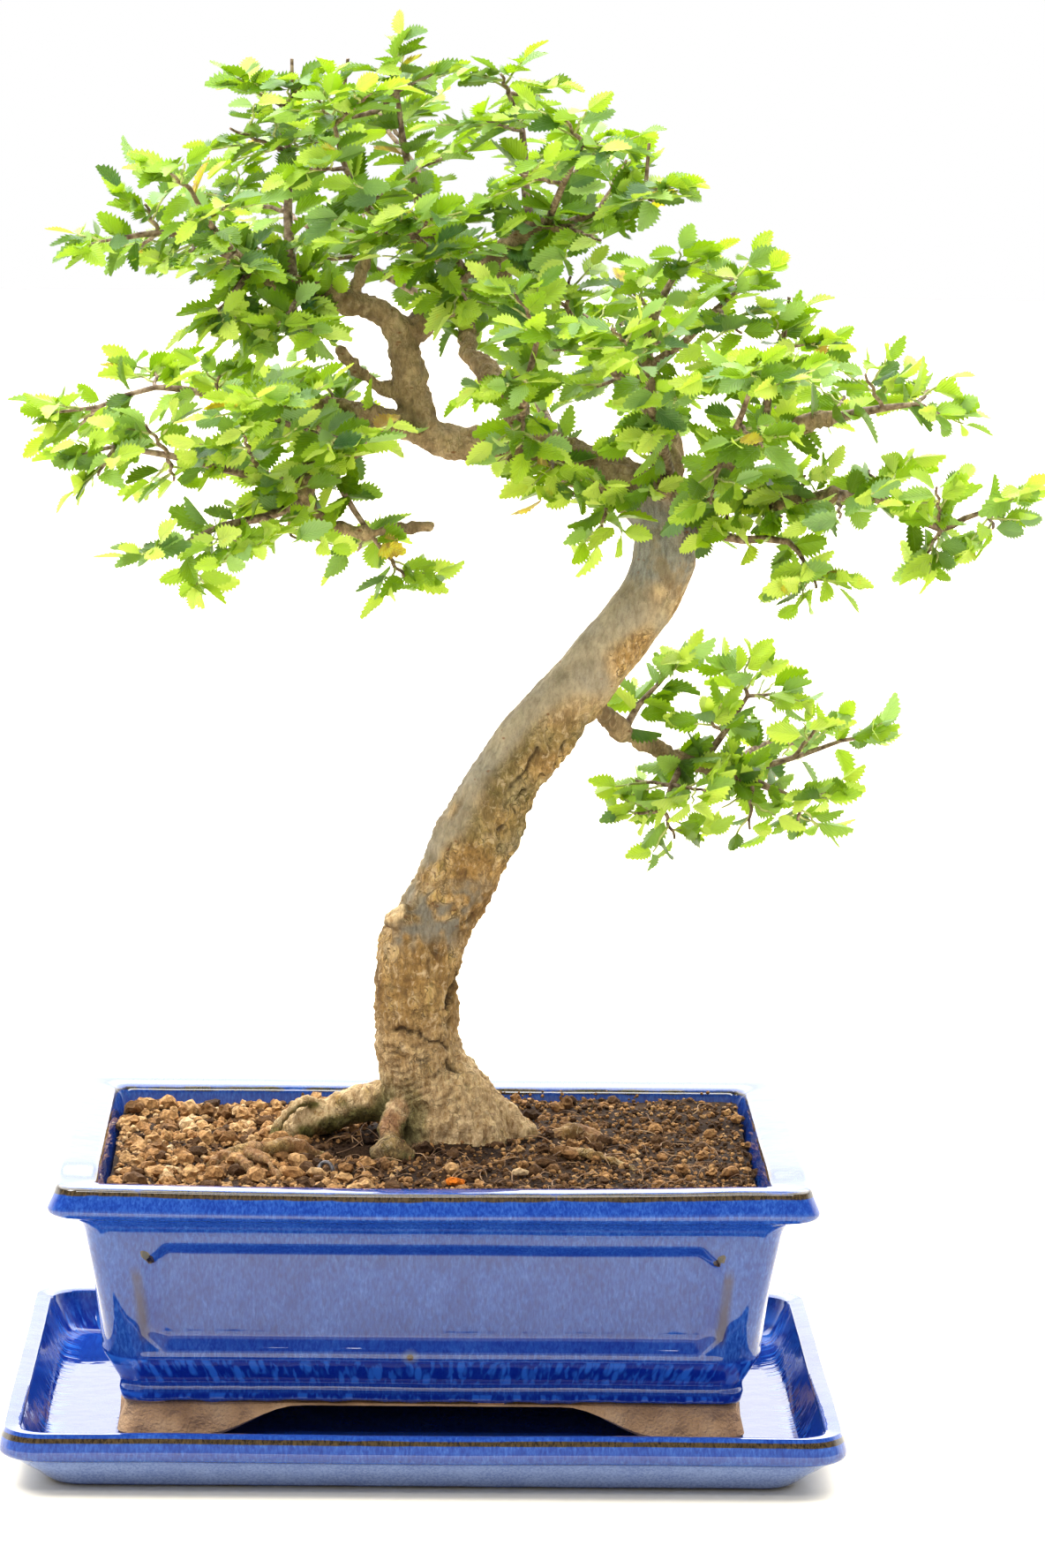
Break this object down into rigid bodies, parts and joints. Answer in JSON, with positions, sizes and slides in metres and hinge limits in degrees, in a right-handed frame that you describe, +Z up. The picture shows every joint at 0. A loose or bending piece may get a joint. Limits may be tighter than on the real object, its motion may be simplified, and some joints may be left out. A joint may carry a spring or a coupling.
{
  "type": "bonsai tree in pot",
  "caption": "Chinese elm bonsai with a gently S-curved bare trunk, flat spreading leafy crown and surface roots, in a blue-glazed rectangular footed pot on a matching drip tray.",
  "frame": {"origin": "middle of the drip tray's flat underside, on the surface that the tray stands on", "axes": "+Z up along the tree's height, +X to the right and +Y away from a viewer who faces the pot's long front side"},
  "size_m": [0.3436, 0.2547, 0.4839],
  "materials": {
    "tray_glaze": "gloss",
    "pot_glaze": "gloss",
    "plastic_mesh": "matte",
    "soil": "matte",
    "wire": "satin",
    "bark": "matte",
    "foliage": "satin"
  },
  "bodies": {
    "root": {"drip_tray": "tray_glaze", "pot": "pot_glaze", "drain_mesh_left": "plastic_mesh", "drain_mesh_right": "plastic_mesh", "soil": "soil", "tie_wire": "wire", "tree_wood": "bark", "spray_far_left": "foliage", "spray_left_riser": "foliage", "spray_left_fore": "foliage", "spray_left_fringe": "foliage", "spray_far_fringe": "foliage", "spray_crown_low": "foliage", "spray_crown_top": "foliage", "spray_crown_fore": "foliage", "spray_crown_back": "foliage", "spray_top_right": "foliage", "spray_top_riser": "foliage", "spray_top_fore": "foliage", "spray_rear_top": "foliage", "spray_rear_left": "foliage", "spray_low_left": "foliage", "spray_low_fore": "foliage", "spray_low_twig": "foliage", "spray_low_rear": "foliage", "spray_low_back": "foliage", "spray_low_front": "foliage", "spray_middle_top": "foliage", "spray_middle_left": "foliage", "spray_middle_right": "foliage", "spray_middle_back": "foliage", "spray_middle_fore": "foliage", "spray_limb_back": "foliage", "spray_limb_fore": "foliage", "spray_right_end": "foliage", "spray_right_riser": "foliage", "spray_right_rear": "foliage", "spray_right_fore": "foliage", "spray_far_right": "foliage", "spray_hanging": "foliage", "spray_lowest_end": "foliage", "spray_lowest_up": "foliage", "spray_lowest_rise": "foliage", "spray_lowest_out": "foliage", "spray_lowest_down": "foliage", "spray_lowest_back": "foliage"}
  },
  "joints": []
}
